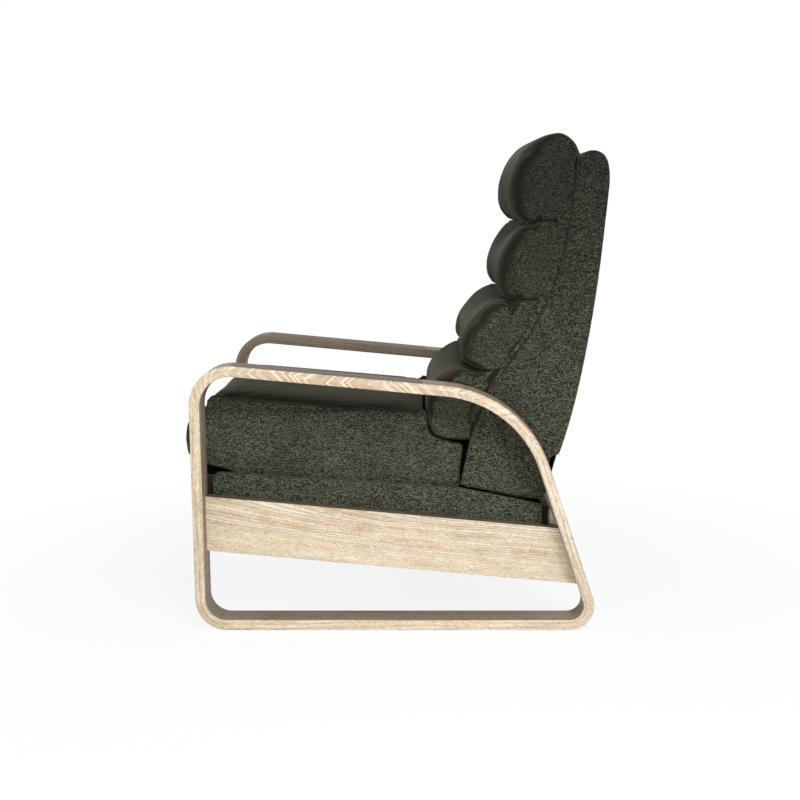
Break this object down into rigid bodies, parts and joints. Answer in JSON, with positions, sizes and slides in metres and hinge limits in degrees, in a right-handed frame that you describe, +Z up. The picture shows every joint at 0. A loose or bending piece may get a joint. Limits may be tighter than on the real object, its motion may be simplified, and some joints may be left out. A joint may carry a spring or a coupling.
{
  "type": "reclining armchair",
  "caption": "Push-back reclining armchair on bent oak loop arms with side boards, segmented roll back and a footrest that folds out from under the seat",
  "frame": {"origin": "on the floor, at the centre of the chair's footprint", "axes": "+Z up, -Y the way the sitter faces, +X the sitter's left"},
  "size_m": [0.711, 0.8853, 1.0328],
  "materials": {
    "oak": "oak with a pale lime-washed grain",
    "olive_weave": "dark olive heathered coarse weave",
    "frame_timber": "planed pine, unfinished",
    "plywood": "sanded plywood",
    "black_steel": "black satin powder coat",
    "zinc_steel": "zinc-plated",
    "spring_steel": "drawn spring wire",
    "black_cambric": "thin black cloth"
  },
  "bodies": {
    "frame": {"back_pivot_brackets": "black_steel", "base_cross_rail_front": "frame_timber", "base_cross_rail_rear": "frame_timber", "base_dust_cover": "black_cambric", "base_front_panel": "olive_weave", "base_rail_left": "frame_timber", "base_rail_right": "frame_timber", "base_rear_panel": "olive_weave", "base_side_panel_left": "olive_weave", "base_side_panel_right": "olive_weave", "board_tenons": "frame_timber", "footrest_cam_plates": "black_steel", "loop_left": "oak", "loop_right": "oak", "side_board_left": "oak", "side_board_right": "oak", "slide_channels": "zinc_steel"},
    "back": {"back_arms": "black_steel", "back_bottom_rail": "frame_timber", "back_lining": "black_cambric", "back_lower_cover": "black_cambric", "back_middle_rail": "frame_timber", "back_post_left": "frame_timber", "back_post_right": "frame_timber", "back_shell": "olive_weave", "back_top_rail": "frame_timber", "back_wing_left": "olive_weave", "back_wing_right": "olive_weave", "head_roll": "olive_weave", "lumbar_roll": "olive_weave", "middle_roll": "olive_weave", "upper_roll": "olive_weave", "wing_blocks": "frame_timber"},
    "seat": {"linkage_side_plates": "black_steel", "seat_cushion": "olive_weave", "seat_drive_brackets": "black_steel", "seat_front_rail": "frame_timber", "seat_rear_rail": "frame_timber", "seat_side_panel_left": "olive_weave", "seat_side_panel_right": "olive_weave", "seat_spring_rail": "frame_timber", "seat_springs": "spring_steel", "slide_runners": "zinc_steel"},
    "front_links_1": {"footrest_link_front_1": "zinc_steel"},
    "rear_links_1": {"footrest_link_rear_1": "zinc_steel"},
    "front_links_2": {"footrest_link_front_2": "zinc_steel"},
    "rear_links_2": {"footrest_link_rear_2": "zinc_steel"},
    "front_links_3": {"footrest_link_front_3": "zinc_steel"},
    "rear_links_3": {"footrest_link_rear_3": "zinc_steel"},
    "footrest": {"footrest_board": "plywood", "footrest_brackets": "zinc_steel", "footrest_pad": "olive_weave"},
    "levelling_links": {"footrest_levelling_links": "zinc_steel"}
  },
  "joints": [
    {"name": "back_recline", "type": "hinge", "parent": "frame", "child": "back", "pos_m": [0, 0.2323, 0.43], "axis": [-1, 0, 0], "range_deg": [0, 32]},
    {"name": "seat_slide", "type": "slide", "parent": "frame", "child": "seat", "axis": [0, -0.9982, 0.0595], "range_m": [0, 0.06105]},
    {"name": "front_links_1_turn", "type": "hinge", "parent": "seat", "child": "front_links_1", "pos_m": [0, -0.3317, 0.425], "axis": [-1, 0, 0], "range_deg": [0, 70.5]},
    {"name": "rear_links_1_turn", "type": "hinge", "parent": "front_links_1", "child": "rear_links_1", "pos_m": [0, -0.33986, 0.37871], "axis": [1, 0, 0], "range_deg": [0, 141]},
    {"name": "front_links_2_turn", "type": "hinge", "parent": "rear_links_1", "child": "front_links_2", "pos_m": [0, -0.34802, 0.425], "axis": [-1, 0, 0], "range_deg": [0, 141]},
    {"name": "rear_links_2_turn", "type": "hinge", "parent": "front_links_2", "child": "rear_links_2", "pos_m": [0, -0.35618, 0.37871], "axis": [1, 0, 0], "range_deg": [0, 141]},
    {"name": "front_links_3_turn", "type": "hinge", "parent": "rear_links_2", "child": "front_links_3", "pos_m": [0, -0.36435, 0.425], "axis": [-1, 0, 0], "range_deg": [0, 141]},
    {"name": "rear_links_3_turn", "type": "hinge", "parent": "front_links_3", "child": "rear_links_3", "pos_m": [0, -0.37251, 0.37871], "axis": [1, 0, 0], "range_deg": [0, 141]},
    {"name": "footrest_turn", "type": "hinge", "parent": "rear_links_3", "child": "footrest", "pos_m": [0, -0.38067, 0.425], "axis": [-1, 0, 0], "range_deg": [0, 160.5]},
    {"name": "levelling_links_turn", "type": "hinge", "parent": "front_links_3", "child": "levelling_links", "pos_m": [0, -0.38067, 0.33243], "axis": [1, 0, 0], "range_deg": [0, 141.47]}
  ],
  "couplings": [
    {"joint": "seat_slide", "follows": "back_recline", "m_per_rad": 0.10931},
    {"joint": "front_links_1_turn", "follows": "back_recline", "ratio": 2.2031},
    {"joint": "rear_links_1_turn", "follows": "back_recline", "ratio": 4.4062},
    {"joint": "front_links_2_turn", "follows": "back_recline", "ratio": 4.4062},
    {"joint": "rear_links_2_turn", "follows": "back_recline", "ratio": 4.4062},
    {"joint": "front_links_3_turn", "follows": "back_recline", "ratio": 4.4062},
    {"joint": "rear_links_3_turn", "follows": "back_recline", "ratio": 4.4062},
    {"joint": "footrest_turn", "follows": "back_recline", "ratio": 5.0156},
    {"joint": "levelling_links_turn", "follows": "back_recline", "ratio": 4.421}
  ]
}
